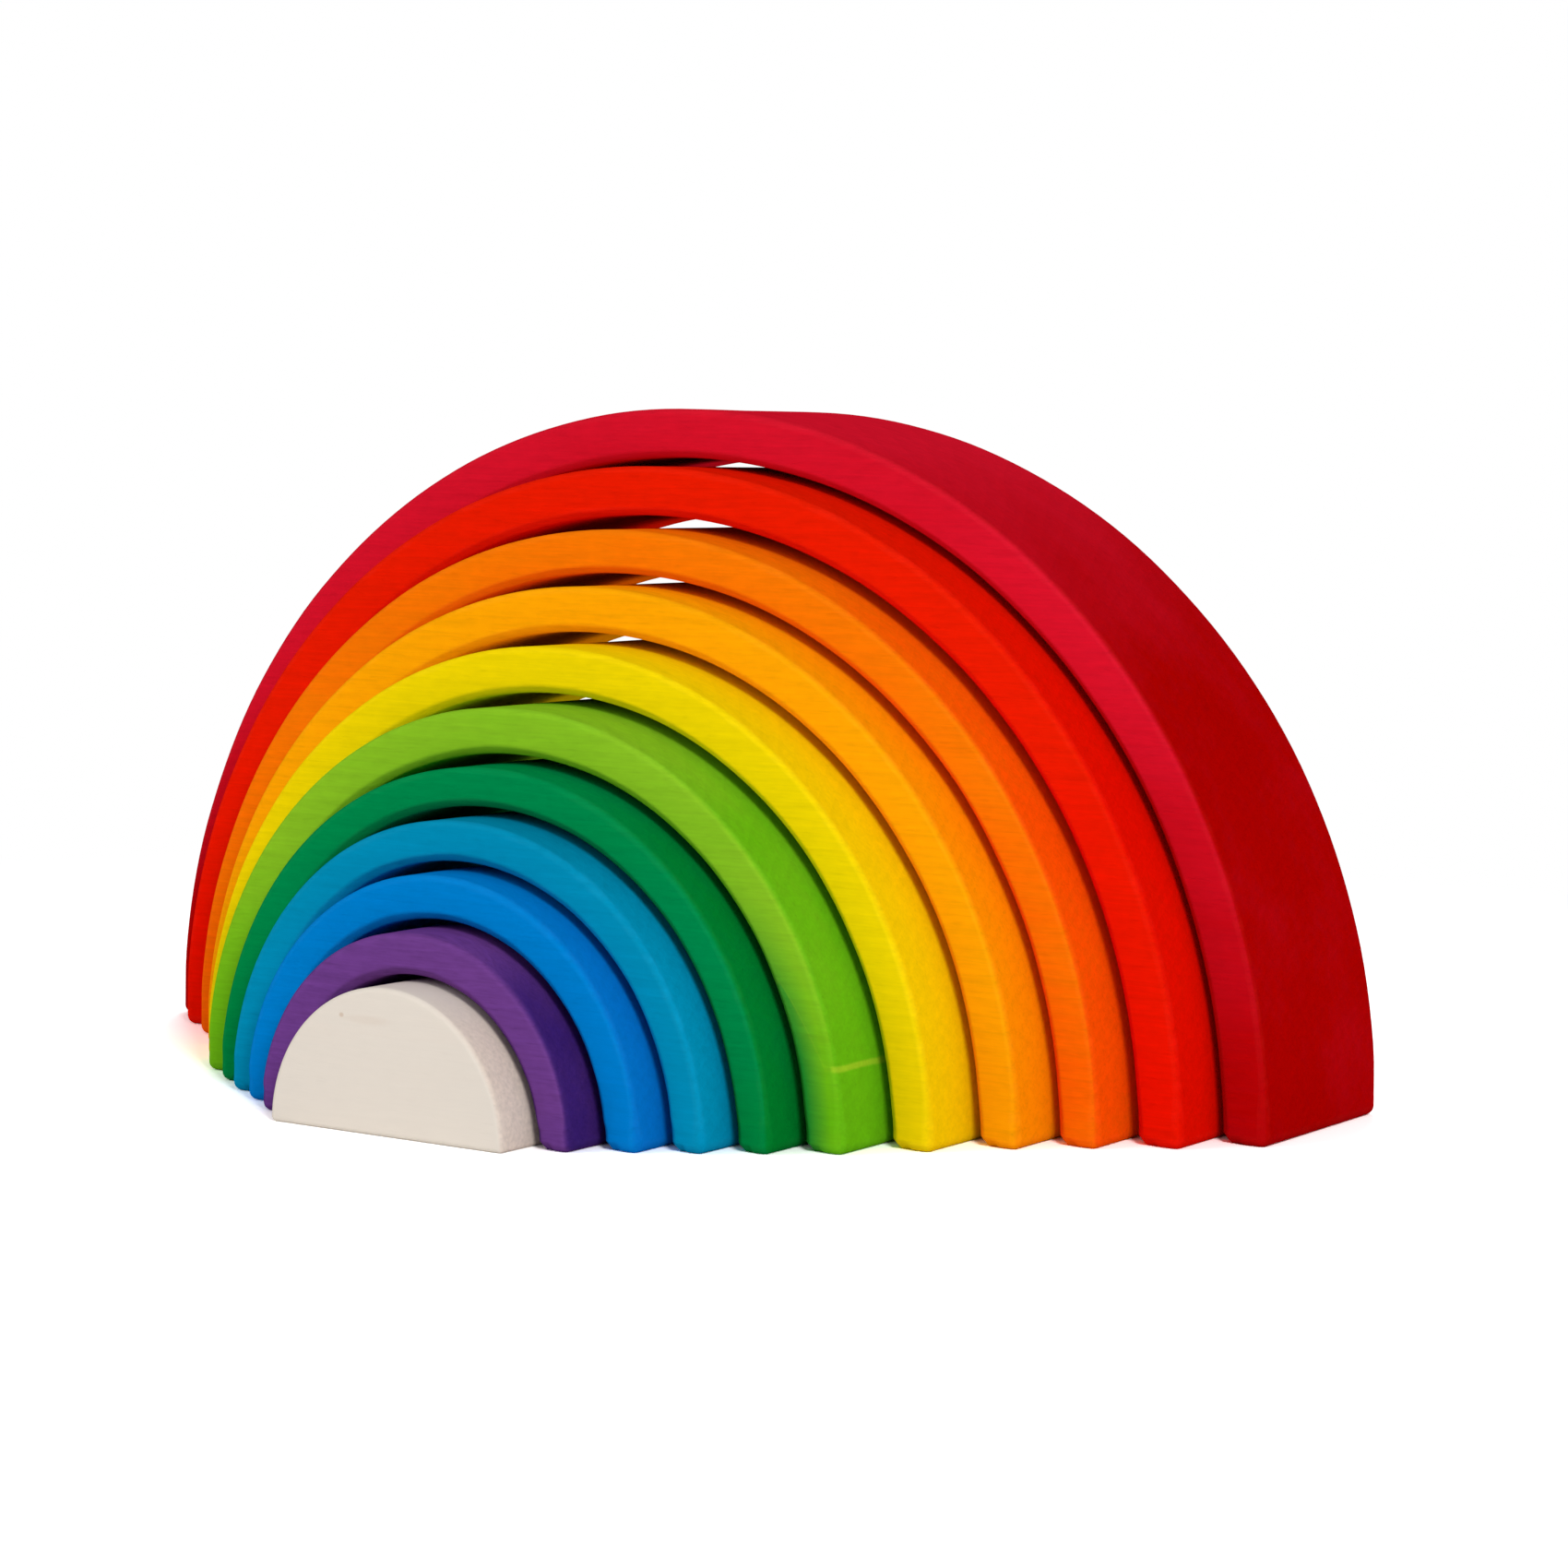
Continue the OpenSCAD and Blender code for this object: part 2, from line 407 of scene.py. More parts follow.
def bent_block_tree():
    """One arch: a rounded block along X, bent over the Y axis so that both ends stand on the floor."""
    axis = rounded_axis_tree()
    tree = bpy.data.node_groups.new("Bent block", "GeometryNodeTree")
    sockets(tree, "INPUT", [
        ("Outer Radius", "Float", 0.18), ("Wall", "Float", 0.012), ("Depth", "Float", 0.063),
        ("Front", "Float", 0.0), ("Edge Round", "Float", 0.001), ("Inner Round", "Float", 0.002),
        ("Inner Bevel", "Float", 0.8), ("Foot Round", "Float", 0.002), ("Round Change", "Float", 0.1),
        ("Sanding", "Float", 0.0002), ("Arc Steps", "Int", 96), ("Seed", "Float", 0.0),
        ("Wood", "Material", None)])
    sockets(tree, "OUTPUT", [("Mesh", "Geometry", None)])
    given = put(tree, "NodeGroupInput").outputs
    half_wall = maths(tree, "MULTIPLY", given["Wall"], 0.5)
    half_depth = maths(tree, "MULTIPLY", given["Depth"], 0.5)
    middle_radius = maths(tree, "SUBTRACT", given["Outer Radius"], half_wall)
    half_sizes = (maths(tree, "MULTIPLY", middle_radius, math.pi / 2), half_depth, half_wall)
    edge_steps = 2 * (ROUND_STEPS + HOLD_STEPS)
    steps = [maths(tree, "ADD", given["Arc Steps"], edge_steps), float(DEPTH_STEPS + edge_steps),
             float(WALL_STEPS + edge_steps)]
    cube = put(tree, "GeometryNodeMeshCube")
    feed(tree, cube.inputs["Size"], joined(tree, *steps))
    for name, count in zip(("Vertices X", "Vertices Y", "Vertices Z"), steps):
        feed(tree, cube.inputs[name], maths(tree, "ADD", count, 1.0))
    grid = split(tree, put(tree, "GeometryNodeInputPosition").outputs[0])

    # The round is a little larger here and smaller there along each edge
    along = joined(tree, *[maths(tree, "DIVIDE", g, s) for g, s in zip(grid, steps)])
    spread = vector_maths(tree, "MULTIPLY", along, DRIFT_REPEATS)
    drift = noise(tree, vector_maths(tree, "ADD", spread, joined(tree, given["Seed"], 0.0, 0.0)), 1.0)
    swing = maths(tree, "MULTIPLY", about_zero(tree, drift, NOISE_SWING), given["Round Change"])

    # Below the middle of the wall's grid an edge is an inner one, and towards the foot it gets rounder
    inside = maths(tree, "LESS_THAN", grid[2], -0.5)
    less = maths(tree, "SUBTRACT", given["Edge Round"], given["Inner Round"])
    edge = maths(tree, "SUBTRACT", given["Edge Round"], maths(tree, "MULTIPLY", inside, less))
    last = maths(tree, "MULTIPLY", steps[0], 0.5)
    full_foot = maths(tree, "SUBTRACT", last, float(ROUND_STEPS + HOLD_STEPS))
    first_foot = maths(tree, "SUBTRACT", full_foot, FOOT_STEPS)
    near_foot = span(tree, maths(tree, "ABSOLUTE", grid[0]), first_foot, full_foot, smooth=True)
    more = maths(tree, "MULTIPLY", near_foot, maths(tree, "SUBTRACT", given["Foot Round"], edge))
    edge = maths(tree, "MULTIPLY", maths(tree, "ADD", edge, more), maths(tree, "ADD", 1.0, swing))

    middles, leans, nears = [], [], []
    for g, s, half in zip(grid, steps, half_sizes):
        node = put(tree, "GeometryNodeGroup", node_tree=axis)
        feed_all(tree, node.inputs, Grid=g, Last=maths(tree, "MULTIPLY", s, 0.5),
                 Half_Size=half, Round=edge)
        middles.append(node.outputs["Middle"])
        leans.append(node.outputs["Lean"])
        nears.append(node.outputs["Near"])

    # An outer edge is round; an inner one lies between a round and a flat bevel
    ways = joined(tree, *leans)
    round_reach = vector_maths(tree, "LENGTH", ways)
    flat_reach = vector_maths(tree, "DOT_PRODUCT", vector_maths(tree, "ABSOLUTE", ways), (1.0, 1.0, 1.0))
    flatter = maths(tree, "MULTIPLY", maths(tree, "SUBTRACT", flat_reach, round_reach),
                    maths(tree, "MULTIPLY", inside, given["Inner Bevel"]))
    lean = scaled(tree, ways, maths(tree, "DIVIDE", edge, maths(tree, "ADD", round_reach, flatter)))
    straight = vector_maths(tree, "ADD", joined(tree, *middles), lean)
    along_arc, along_depth, along_wall = split(tree, straight)
    angle = maths(tree, "DIVIDE", along_arc, middle_radius)
    radius = maths(tree, "ADD", middle_radius, along_wall)
    back = maths(tree, "ADD", maths(tree, "ADD", given["Front"], half_depth), along_depth)
    bent = joined(tree, maths(tree, "MULTIPLY", radius, maths(tree, "SINE", angle)), back,
                  maths(tree, "MULTIPLY", radius, maths(tree, "COSINE", angle)))

    # A point is near an edge where at least two of its three axes are
    two = maths(tree, "MINIMUM", nears[0], nears[1])
    three = maths(tree, "MINIMUM", maths(tree, "MAXIMUM", nears[0], nears[1]), nears[2])
    worn = put(tree, "GeometryNodeStoreNamedAttribute", data_type="FLOAT", domain="POINT")
    feed_all(tree, worn.inputs, Geometry=cube.outputs["Mesh"], Name=WEAR,
             Value=maths(tree, "MAXIMUM", two, three))
    shaped = put(tree, "GeometryNodeSetPosition")
    feed_all(tree, shaped.inputs, Geometry=worn.outputs["Geometry"], Position=bent)

    # Hand sanding leaves the faces a little out of true, but the feet stay flat
    place = put(tree, "GeometryNodeInputPosition").outputs[0]
    apart = vector_maths(tree, "ADD", place, joined(tree, 0.0, 0.0, given["Seed"]))
    uneven = noise(tree, apart, SANDING_REPEATS, 1.0)
    lift = about_zero(tree, uneven, maths(tree, "MULTIPLY", given["Sanding"], NOISE_SWING))
    clear_of_floor = span(tree, split(tree, place)[2], *SANDING_HEIGHTS, smooth=True)
    outwards = put(tree, "GeometryNodeInputNormal").outputs[0]
    offset = scaled(tree, outwards, maths(tree, "MULTIPLY", lift, clear_of_floor))
    sanded = put(tree, "GeometryNodeSetPosition")
    feed_all(tree, sanded.inputs, Geometry=shaped.outputs["Geometry"], Offset=offset)
    smooth = put(tree, "GeometryNodeSetShadeSmooth")
    feed(tree, smooth.inputs["Geometry"], sanded.outputs["Geometry"])
    real = put(tree, "GeometryNodeRealizeInstances")
    feed(tree, real.inputs["Geometry"], smooth.outputs["Geometry"])
    finished = put(tree, "GeometryNodeSetMaterial")
    feed_all(tree, finished.inputs, Geometry=real.outputs["Geometry"], Material=given["Wood"])
    feed(tree, put(tree, "NodeGroupOutput").inputs["Mesh"], finished.outputs["Geometry"])
    return tree


def arch_sizes(node):
    """Outer radius, wall, depth and front of a packed arch, in metres."""
    low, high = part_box(node)
    inner = min(math.hypot(v.co.x, v.co.z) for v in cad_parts[node].data.vertices)
    return {"Outer Radius": high.x, "Wall": high.x - inner, "Depth": high.y - low.y, "Front": low.y}


def make_arch(node, tree, shape, wood, seed):
    """Runs the tree for one arch and keeps the result as a plain mesh."""
    piece = bpy.data.objects.new("sanded_" + node, bpy.data.meshes.new("sanded_" + node))
    bpy.context.scene.collection.objects.link(piece)
    modifier = piece.modifiers.new("Bent block", "NODES")
    modifier.node_group = tree
    values = dict(arch_sizes(node), **{
        "Edge Round": shape.edge_round, "Inner Round": shape.inner_round, "Inner Bevel": shape.inner_bevel,
        "Foot Round": shape.foot_round, "Round Change": shape.round_change, "Sanding": shape.sanding,
        "Arc Steps": shape.arc_steps, "Seed": seed, "Wood": wood})
    for item in tree.interface.items_tree:
        if item.in_out == "INPUT":
            modifier[item.identifier] = values[item.name]
    bpy.context.view_layer.update()
    mesh = bpy.data.meshes.new_from_object(piece.evaluated_get(bpy.context.evaluated_depsgraph_get()))
    piece.modifiers.remove(modifier)
    piece.data = mesh
    mesh.name = piece.name
    if len(mesh.polygons) == 0:
        raise RuntimeError("the bent block gave no mesh for " + node)
    return piece


# Shape of the half disc: its outline with rounded lower corners, rounded off towards both faces


def upright(angle):
    """The way from the middle of an upright circle to its rim."""
    return Vector((math.cos(angle), 0.0, math.sin(angle)))


def half_disc_outline(radius, edge):
    """Points inside the outline by one round, each with the way out to the surface."""
    inner = radius - edge
    lift = math.asin(edge / inner)
    points = []
    for step in range(DISC_ARC_STEPS + 1):
        way = upright(lift + (math.pi - 2 * lift) * step / DISC_ARC_STEPS)
        points.append((way * inner, way))
    left = points[-1][0]
    for step in range(1, DISC_CORNER_STEPS + 1):
        points.append((left, upright(math.pi - lift + (math.pi / 2 + lift) * step / DISC_CORNER_STEPS)))
    right = Vector((-left.x, 0.0, left.z))
    for step in range(1, DISC_BASE_STEPS + 1):
        points.append((left.lerp(right, step / DISC_BASE_STEPS), Vector((0.0, 0.0, -1.0))))
    for step in range(1, DISC_CORNER_STEPS):
        points.append((right, upright(-math.pi / 2 + (math.pi / 2 + lift) * step / DISC_CORNER_STEPS)))
    return points


def half_disc_rings(depth, edge):
    """Rings from the front face's hub to the back face's: inward share, outward share, depth, wear."""
    front = [(share, 0.0, 0.0, wear) for share, wear in DISC_RINGS]
    turn = [step * math.pi / 4 / ROUND_STEPS for step in range(2 * ROUND_STEPS + 1)]
    front += [(1.0, math.sin(a), edge * (1 - math.cos(a)), 1.0) for a in turn]
    start = edge + SECOND_HOLD
    front += [(1.0, 1.0, edge + FIRST_HOLD, HOLD_WEAR), (1.0, 1.0, start, 0.0)]
    flat = depth - 2 * start
    middle = [(1.0, 1.0, start + flat * step / DEPTH_STEPS, 0.0) for step in range(1, DEPTH_STEPS)]
    behind = [(share, out, depth - y, wear) for share, out, y, wear in reversed(front)]
    return front + middle + behind


def make_half_disc(shape, wood):
    """Sweeps the outline through its rings and closes both faces in a fan."""
    low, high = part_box(HALF_DISC)
    edge = shape.disc_round
    outline = half_disc_outline(high.x, edge)
    hub = Vector((0.0, 0.0, DISC_HUB * high.z))
    mesh = bpy.data.meshes.new("sanded_" + HALF_DISC)
    bm = bmesh.new()
    worn = bm.verts.layers.float.new(WEAR)
    rings = []
    for share, out, y, wear in half_disc_rings(high.y - low.y, edge):
        ring = []
        for core, way in outline:
            vert = bm.verts.new(hub.lerp(core, share) + way * edge * out + Vector((0.0, low.y + y, 0.0)))
            vert[worn] = wear
            ring.append(vert)
        rings.append(ring)
    for near, far in zip(rings, rings[1:]):
        for k, vert in enumerate(near):
            after = (k + 1) % len(near)
            bm.faces.new((vert, near[after], far[after], far[k]))
    for ring, y in ((rings[0], low.y), (rings[-1], high.y)):
        centre = bm.verts.new(hub + Vector((0.0, y, 0.0)))
        for k, vert in enumerate(ring):
            bm.faces.new((vert, ring[(k + 1) % len(ring)], centre))
    bmesh.ops.remove_doubles(bm, verts=bm.verts, dist=MERGE_DISTANCE)
    bmesh.ops.recalc_face_normals(bm, faces=bm.faces)
    for face in bm.faces:
        face.smooth = True
    bm.to_mesh(mesh)
    bm.free()
    mesh.materials.append(wood)
    piece = bpy.data.objects.new(mesh.name, mesh)
    bpy.context.scene.collection.objects.link(piece)
    return piece


# Wood: grain along X, sawn from one block so that it runs on from piece to piece


def wood_tree():
    """Colour, roughness and bump of sanded wood that a stain has soaked into."""
    tree = bpy.data.node_groups.new("Sanded wood", "ShaderNodeTree")
    sockets(tree, "INPUT", [
        ("Face", "Color", None), ("End", "Color", None), ("Worn", "Color", None),
        ("Home", "Vector", None), ("Figure", "Float", 1.0), ("Pores", "Float", 0.1),
        ("Wear", "Float", 0.4), ("Soak", "Float", 0.5), ("Height", "Float", 0.1)])
    sockets(tree, "OUTPUT", [
        ("Colour", "Color", None), ("Roughness", "Float", None), ("Normal", "Vector", None)])
    given = put(tree, "NodeGroupInput").outputs
    coords = put(tree, "ShaderNodeTexCoord").outputs
    block = vector_maths(tree, "SUBTRACT", coords["Object"], given["Home"])

    # Growth rings run round a heart line below and behind the block
    rings = put(tree, "ShaderNodeTexWave", wave_type="RINGS", rings_direction="X", wave_profile="SAW")
    feed(tree, rings.inputs["Vector"], vector_maths(tree, "SUBTRACT", block, HEART_LINE))
    for name, amount in GROWTH_RINGS.items():
        feed(tree, rings.inputs[name], amount)
    ring = rings.outputs["Fac"]
    fibre, streak, mottle, cloud, dashes, pores = [
        stretched_noise(tree, block, *part) for part in (FIBRE, STREAK, MOTTLE, CLOUD, DASH, PORE)]
    dash = span(tree, dashes, *DASH_EDGE)

    # End grain drinks more stain than long grain, and the feet drink more than the crown
    across = maths(tree, "ABSOLUTE", split(tree, coords["Normal"])[0])
    end_grain = span(tree, across, *END_GRAIN, smooth=True)
    above_floor = split(tree, coords["Object"])[2]
    near_foot = span(tree, above_floor, given["Height"], SOAK_FULL, 0.0, given["Soak"], smooth=True)
    patchy = about_zero(tree, cloud, CLOUD_SOAK)
    soaked = maths(tree, "ADD", maths(tree, "MAXIMUM", end_grain, near_foot), patchy)
    soaked = maths(tree, "ADD", soaked, about_zero(tree, streak, STREAK_SOAK), clamp=True)
    colour = mixed(tree, soaked, given["Face"], given["End"])

    # The figure darkens and lightens the stain
    figure = maths(tree, "ADD", about_zero(tree, fibre, FIGURE_SHARE["fibre"]),
                   about_zero(tree, streak, FIGURE_SHARE["streak"]))
    figure = maths(tree, "ADD", figure, about_zero(tree, mottle, FIGURE_SHARE["mottle"]))
    figure = maths(tree, "SUBTRACT", figure, about_zero(tree, ring, FIGURE_SHARE["ring"]))
    figure = maths(tree, "SUBTRACT", figure, maths(tree, "MULTIPLY", dash, FIGURE_SHARE["dash"]))
    dots = maths(tree, "MULTIPLY", about_zero(tree, pores, given["Pores"]), end_grain)
    grained = maths(tree, "MULTIPLY", figure, given["Figure"])
    colour = scaled(tree, colour, maths(tree, "ADD", maths(tree, "ADD", 1.0, dots), grained))

    # Sanding and handling thin the stain along the edges
    worn = put(tree, "ShaderNodeAttribute", attribute_name=WEAR).outputs["Fac"]
    uneven = maths(tree, "ADD", worn, maths(tree, "SUBTRACT", streak, 0.5))
    rubbed = maths(tree, "MULTIPLY", span(tree, uneven, *RUBBED, smooth=True), given["Wear"])
    colour = mixed(tree, rubbed, colour, given["Worn"])

    relief = maths(tree, "ADD", fibre, maths(tree, "MULTIPLY", dash, RELIEF_SHARE["dash"]))
    relief = maths(tree, "ADD", relief, maths(tree, "MULTIPLY", streak, RELIEF_SHARE["streak"]))
    bump = put(tree, "ShaderNodeBump")
    feed_all(tree, bump.inputs, Strength=BUMP_STRENGTH, Distance=BUMP_DISTANCE, Height=relief)
    feed_all(tree, put(tree, "NodeGroupOutput").inputs, Colour=colour, Normal=bump.outputs[0],
             Roughness=span(tree, maths(tree, "ADD", fibre, patchy), *ROUGH_FROM, *ROUGH_TO))
    return tree


def wood_material(name, tree, **values):
    """One finish on the shared wood."""
    material = bpy.data.materials.new(name)
    material.use_nodes = True
    nodes = material.node_tree
    nodes.nodes.clear()
    wood = put(nodes, "ShaderNodeGroup", node_tree=tree)
    for socket, value in values.items():
        wood.inputs[socket].default_value = value
    shader = put(nodes, "ShaderNodeBsdfPrincipled")
    shader.inputs["Specular IOR Level"].default_value = 0.0
    feed_all(nodes, shader.inputs, Base_Color=wood.outputs["Colour"],
             Roughness=wood.outputs["Roughness"], Normal=wood.outputs["Normal"])
    feed(nodes, put(nodes, "ShaderNodeOutputMaterial").inputs["Surface"], shader.outputs[0])
    return material


def between(one, other, share):
    return [a + (b - a) * share for a, b in zip(one, other)]


def shared_wood():
    found = bpy.data.node_groups.get("Sanded wood")
    return found if found else wood_tree()


def piece_wood(node, stains, wear):
    """The finish of one piece, from its two stain colours."""
    word = "bare" if node == HALF_DISC else node.removesuffix("_arch")
    low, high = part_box(node)
    face = linear(getattr(stains, word + "_face"))
    end = linear(getattr(stains, word + "_end"))
    worn = between(face, linear(stains.bare_face), RUBBED_SHARE)
    figure, pores, soak = GRAIN[word]
    return wood_material(node + "_wood", shared_wood(), Face=face, End=end, Worn=worn,
                         Home=(0.0, low.y, 0.0), Figure=figure, Pores=pores, Wear=wear, Soak=soak,
                         Height=SOAK_TOP * high.z)


def pool_stain_and_shade(material, node, stains):
    """The stain of one arch ran down its right foot and dried in a pale line; its dark part is pooled stain
    and painted shade.
    """
    tree = material.node_tree
    wood = next(item for item in tree.nodes if item.type == "GROUP")
    sizes = arch_sizes(node)
    outer = sizes["Outer Radius"]
    place = put(tree, "ShaderNodeTexCoord").outputs["Object"]
    parts = split(tree, place)
    x, z = parts[0], parts[2]
    radius = vector_maths(tree, "LENGTH", joined(tree, x, 0.0, z))
    right = span(tree, x, *POOL_SHADE_SIDE)

    # Pooled stain and painted shade: darker towards the inner edge, towards the floor and below a slanted
    # top
    inward = span(tree, radius, outer - POOL_SHADE_START, outer - POOL_SHADE_DEEPEST * sizes["Wall"])
    low = span(tree, z, *POOL_SHADE_HEIGHTS, smooth=True)
    top = maths(tree, "ADD", stains.lime_line_height, maths(tree, "MULTIPLY", inward, POOL_SHADE_SLANT))
    below = span(tree, maths(tree, "SUBTRACT", z, top), *POOL_SHADE_EDGE, smooth=True)
    below = maths(tree, "MULTIPLY", below, span(tree, inward, 0.0, POOL_SHADE_DARKEST, 0.0, POOL_SHADE_DARK))
    dark_pool_and_shade = maths(tree, "MAXIMUM", maths(tree, "MULTIPLY", inward, low), below)
    pooled = maths(tree, "MULTIPLY", dark_pool_and_shade, right)

    # The pale line along that top is plain on the side and faint on the front
    wobble = about_zero(tree, noise(tree, place, LINE_REPEATS), LINE_WOBBLE)
    off = maths(tree, "ABSOLUTE", maths(tree, "SUBTRACT", maths(tree, "ADD", z, wobble), top))
    line = maths(tree, "MULTIPLY", span(tree, off, *LINE_FADE, smooth=True), right)
    depths = [outer - depth for depth in LINE_DEPTHS]
    pale = maths(tree, "MULTIPLY", line, span(tree, radius, *depths, *LINE_STRENGTHS))
    # The dark of the pooled stain and painted shade, then the pale line, go into both stain colours
    for name in ("Face", "End"):
        deep = mixed(tree, pooled, tuple(wood.inputs[name].default_value), linear(stains.lime_pool_and_shade))
        feed(tree, wood.inputs[name], mixed(tree, pale, deep, linear(stains.lime_line)))


def mark_flecks(material, node, stains):
    """A small brown fleck in the wood, and the faint streak that runs on from it."""
    tree = material.node_tree
    wood = next(item for item in tree.nodes if item.type == "GROUP")
    place = put(tree, "ShaderNodeTexCoord").outputs["Object"]
    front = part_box(node)[0].y
    colour = tuple(wood.inputs["Face"].default_value)
    for x, z, length, height, strength in DISC_FLECKS:
        off = vector_maths(tree, "SUBTRACT", place, (x, front, z))
        shares = vector_maths(tree, "MULTIPLY", off, (1 / length, 1 / SECOND_HOLD, 1 / height))
        reach = vector_maths(tree, "LENGTH", shares)
        spot = span(tree, reach, *FLECK_FADE, 0.0, strength, smooth=True)
        colour = mixed(tree, spot, colour, linear(stains.bare_fleck))
    feed(tree, wood.inputs["Face"], colour)


def settle(piece, node):
    """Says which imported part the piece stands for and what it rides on."""
    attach(piece, node)
    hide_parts(node)


class RAINBOW_OT_add_arches(bpy.types.Operator):
    """Bend, sand and stain the ten arches"""

    bl_idname = "rainbow.add_arches"
    bl_label = "Add arches"

    def execute(self, context):
        scene = context.scene
        tree = bent_block_tree()
        for number, node in enumerate(ARCHES):
            wood = piece_wood(node, scene.rainbow_stains, scene.rainbow_stains.edge_wear)
            # The lime arch gets its pooled stain and painted shade at its right foot's inner edge
            if node == POOLED_AND_SHADED_ARCH:
                pool_stain_and_shade(wood, node, scene.rainbow_stains)
            settle(make_arch(node, tree, scene.rainbow_shape, wood, SEED_STEP * number), node)
        return {"FINISHED"}


class RAINBOW_OT_add_half_disc(bpy.types.Operator):
    """Shape and sand the plain half disc"""

    bl_idname = "rainbow.add_half_disc"
    bl_label = "Add half disc"

    def execute(self, context):
        scene = context.scene
        wood = piece_wood(HALF_DISC, scene.rainbow_stains, BARE_WEAR)
        mark_flecks(wood, HALF_DISC, scene.rainbow_stains)
        settle(make_half_disc(scene.rainbow_shape, wood), HALF_DISC)
        return {"FINISHED"}


# Stage


def white_for_camera(tree, plain, white):
    """Mixes two shaders by whether the ray comes from the camera, a mirror or through glass."""
    path = put(tree, "ShaderNodeLightPath").outputs
    seen = maths(tree, "MAXIMUM", path["Is Camera Ray"], path["Is Glossy Ray"])
    seen = maths(tree, "MAXIMUM", seen, path["Is Transmission Ray"])
    return faded(tree, seen, plain, white)


def faded(tree, factor, first, second):
    """Mixes two shaders."""
    mix = put(tree, "ShaderNodeMixShader")
    for socket, value in zip(mix.inputs, (factor, first, second)):
        feed(tree, socket, value)
    return mix.outputs[0]


def make_floor(stage):
    """A pale floor that the camera sees as white, with the object's shadow near the middle."""
    mesh = bpy.data.meshes.new("floor")
    bm = bmesh.new()
    bmesh.ops.create_circle(bm, cap_ends=True, segments=FLOOR_SIDES, radius=FLOOR_RADIUS)
    bm.to_mesh(mesh)
    bm.free()
    floor = bpy.data.objects.new("floor", mesh)
    bpy.context.scene.collection.objects.link(floor)
    material = bpy.data.materials.new("pale_floor")
    material.use_nodes = True
    tree = material.node_tree
    tree.nodes.clear()
    plain = put(tree, "ShaderNodeBsdfDiffuse")
    plain.inputs["Color"].default_value = (stage.floor_tone, stage.floor_tone, stage.floor_tone, 1.0)
    white = put(tree, "ShaderNodeBsdfDiffuse")
    white.inputs["Color"].default_value = (stage.floor_white, stage.floor_white, stage.floor_white, 1.0)
    far_white = put(tree, "ShaderNodeEmission")
    away = vector_maths(tree, "LENGTH", put(tree, "ShaderNodeTexCoord").outputs["Object"])
    fade = faded(tree, span(tree, away, *FLOOR_FADE, smooth=True), white.outputs[0], far_white.outputs[0])
    feed(tree, put(tree, "ShaderNodeOutputMaterial").inputs["Surface"],
         white_for_camera(tree, plain.outputs[0], fade))
    mesh.materials.append(material)


def make_sky(stage):
    """Even light from all round, which the camera sees as white."""
    world = bpy.data.worlds.new("white_surround")
    bpy.context.scene.world = world
    world.use_nodes = True
    tree = world.node_tree
    tree.nodes.clear()
    plain = put(tree, "ShaderNodeBackground")
    plain.inputs["Strength"].default_value = stage.sky
    white = put(tree, "ShaderNodeBackground")
    for background in (plain, white):
        background.inputs["Color"].default_value = (1.0, 1.0, 1.0, 1.0)
    feed(tree, put(tree, "ShaderNodeOutputWorld").inputs["Surface"],
         white_for_camera(tree, plain.outputs[0], white.outputs[0]))


def make_softbox(name, azimuth, elevation, width, power):
    """A square soft light, aimed at the middle of the row."""
    light = bpy.data.lights.new(name, "AREA")
    light.shape = "SQUARE"
    light.size = width
    light.energy = power
    lamp = bpy.data.objects.new(name, light)
    a, e = math.radians(azimuth), math.radians(elevation)
    back = Vector((math.sin(a) * math.cos(e), -math.cos(a) * math.cos(e), math.sin(e)))
    lamp.location = LIGHT_AIM + back * LIGHT_DISTANCE
    lamp.rotation_mode = "QUATERNION"
    lamp.rotation_quaternion = back.to_track_quat("Z", "Y")
    bpy.context.scene.collection.objects.link(lamp)


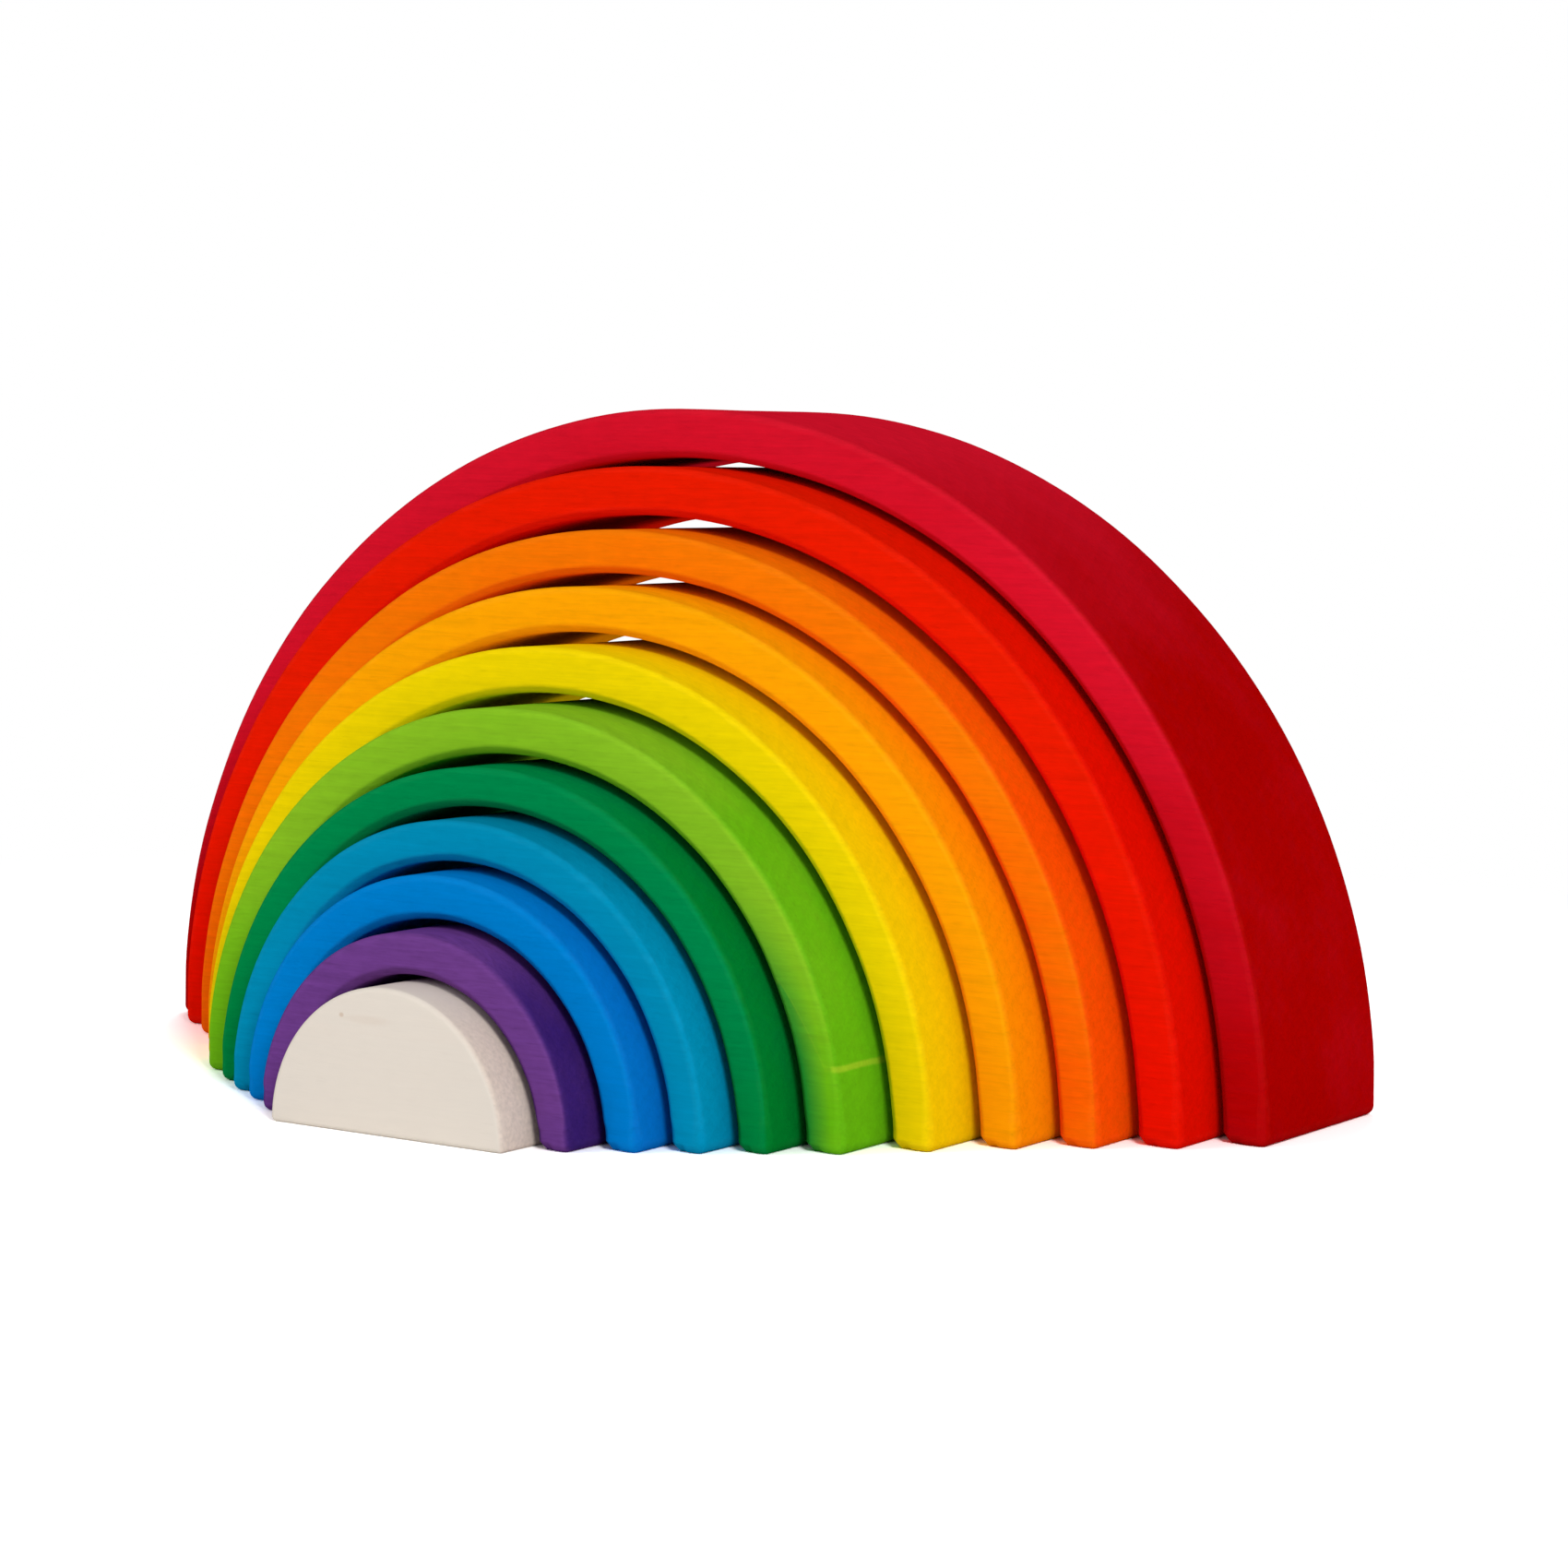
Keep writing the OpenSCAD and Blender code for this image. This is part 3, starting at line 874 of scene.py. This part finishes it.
def make_camera():
    """A long lens at the front right, a little below the height of the tallest crown."""
    yaw, pitch, roll = (math.radians(angle) for angle in CAMERA_ANGLES)
    data = bpy.data.cameras.new("camera")
    data.sensor_width = CAMERA_SENSOR
    data.lens = CAMERA_LENS
    camera = bpy.data.objects.new("camera", data)
    bpy.context.scene.collection.objects.link(camera)
    ahead = Vector((-math.sin(yaw) * math.cos(pitch), math.cos(yaw) * math.cos(pitch), -math.sin(pitch)))
    level = Vector((math.cos(yaw), math.sin(yaw), 0.0))
    above = level.cross(ahead)
    right = level * math.cos(roll) + above * math.sin(roll)
    up = above * math.cos(roll) - level * math.sin(roll)
    place = Matrix((right, up, -ahead)).transposed().to_4x4()
    place.translation = CAMERA_PLACE
    camera.matrix_world = place
    bpy.context.scene.camera = camera


class RAINBOW_OT_set_stage(bpy.types.Operator):
    """Lay the floor, set the soft lights and place the camera"""

    bl_idname = "rainbow.set_stage"
    bl_label = "Set stage"

    def execute(self, context):
        stage = context.scene.rainbow_stage
        context.scene.view_settings.view_transform = "Standard"
        make_camera()
        make_floor(stage)
        make_sky(stage)
        for name, (azimuth, elevation, width) in SOFTBOXES.items():
            make_softbox(name + "_softbox", azimuth, elevation, width, getattr(stage, name + "_power"))
        return {"FINISHED"}


class RAINBOW_PT_panel(bpy.types.Panel):
    """Build steps and settings of the rainbow stacker"""

    bl_idname = "RAINBOW_PT_panel"
    bl_label = "Rainbow stacker"
    bl_space_type = "VIEW_3D"
    bl_region_type = "UI"
    bl_category = "Rainbow"

    def draw(self, context):
        layout = self.layout
        for operator in OPERATORS:
            layout.operator(operator.bl_idname)
        for group in SETTINGS:
            settings = getattr(context.scene, group)
            box = layout.box()
            for name in settings.bl_rna.properties.keys():
                if name not in {"rna_type", "name"}:
                    box.prop(settings, name)


OPERATORS = (RAINBOW_OT_set_stage, RAINBOW_OT_add_arches, RAINBOW_OT_add_half_disc)
SETTINGS = {"rainbow_shape": RainbowShape, "rainbow_stains": RainbowStains, "rainbow_stage": RainbowStage}


def register():
    for group in SETTINGS.values():
        bpy.utils.register_class(group)
    for cls in OPERATORS + (RAINBOW_PT_panel,):
        bpy.utils.register_class(cls)
    for name, group in SETTINGS.items():
        setattr(bpy.types.Scene, name, bpy.props.PointerProperty(type=group))


def unregister():
    for name in SETTINGS:
        delattr(bpy.types.Scene, name)
    for cls in (RAINBOW_PT_panel,) + OPERATORS:
        bpy.utils.unregister_class(cls)
    for group in SETTINGS.values():
        bpy.utils.unregister_class(group)


def main():
    register()
    bpy.ops.rainbow.set_stage()
    bpy.ops.rainbow.add_arches()
    bpy.ops.rainbow.add_half_disc()


if __name__ == "__main__":
    main()
